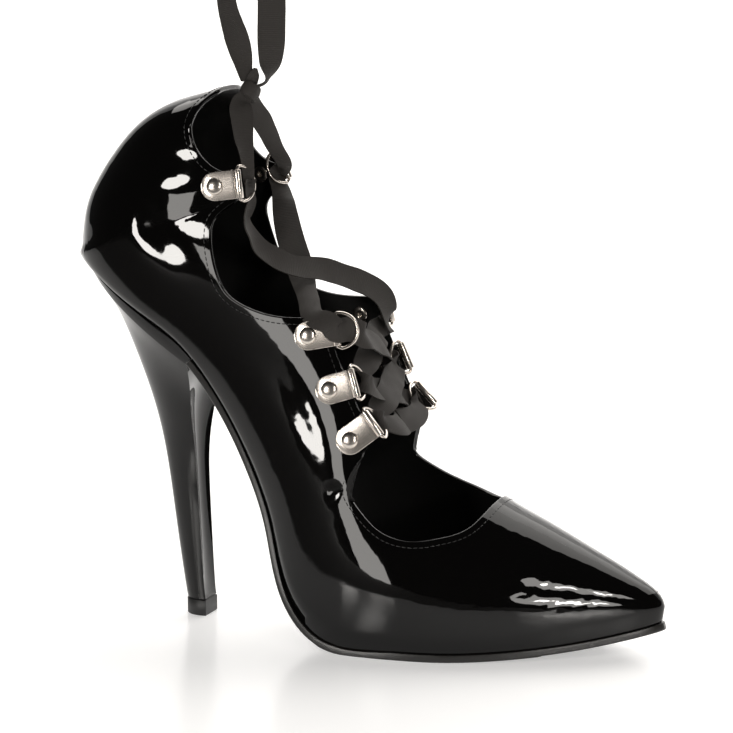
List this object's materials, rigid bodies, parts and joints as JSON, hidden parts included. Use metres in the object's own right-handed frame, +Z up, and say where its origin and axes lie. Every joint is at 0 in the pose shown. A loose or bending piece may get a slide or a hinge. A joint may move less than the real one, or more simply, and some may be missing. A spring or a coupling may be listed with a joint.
{
  "type": "lace up heel",
  "caption": "Right pointed-toe stiletto pump with scalloped sides, laced by a ribbon through riveted D-rings up the instep to a knot at the ankle.",
  "frame": {"origin": "centre of the heel tip's bottom face, on the floor", "axes": "+X towards the toe, +Y towards the inner (medial) side, +Z up from the floor"},
  "size_m": [0.2207, 0.0747, 0.2444],
  "materials": {
    "patent": "high-gloss black patent",
    "sole": "satin black",
    "lining": "matt black",
    "lift": "matt black",
    "nickel": "polished nickel",
    "ribbon": "matt grosgrain"
  },
  "bodies": {
    "root": {"clip_inner_ankle": "nickel", "clip_inner_instep_1": "nickel", "clip_inner_instep_2": "nickel", "clip_inner_instep_3": "nickel", "clip_outer_ankle": "nickel", "clip_outer_instep_1": "nickel", "clip_outer_instep_2": "nickel", "clip_outer_instep_3": "nickel", "heel": "patent", "heel_tip": "lift", "insole": "lining", "lace_bar": "ribbon", "lace_cross_1": "ribbon", "lace_cross_2": "ribbon", "lace_cross_3": "ribbon", "lace_knot": "ribbon", "lace_loop": "ribbon", "lace_riser_inner": "ribbon", "lace_riser_outer": "ribbon", "outsole": "sole", "ring_inner_ankle": "nickel", "ring_inner_instep_1": "nickel", "ring_inner_instep_2": "nickel", "ring_inner_instep_3": "nickel", "ring_outer_ankle": "nickel", "ring_outer_instep_1": "nickel", "ring_outer_instep_2": "nickel", "ring_outer_instep_3": "nickel", "rivet_inner_ankle": "nickel", "rivet_inner_instep_1": "nickel", "rivet_inner_instep_2": "nickel", "rivet_inner_instep_3": "nickel", "rivet_outer_ankle": "nickel", "rivet_outer_instep_1": "nickel", "rivet_outer_instep_2": "nickel", "rivet_outer_instep_3": "nickel", "upper": "patent"}
  },
  "joints": []
}
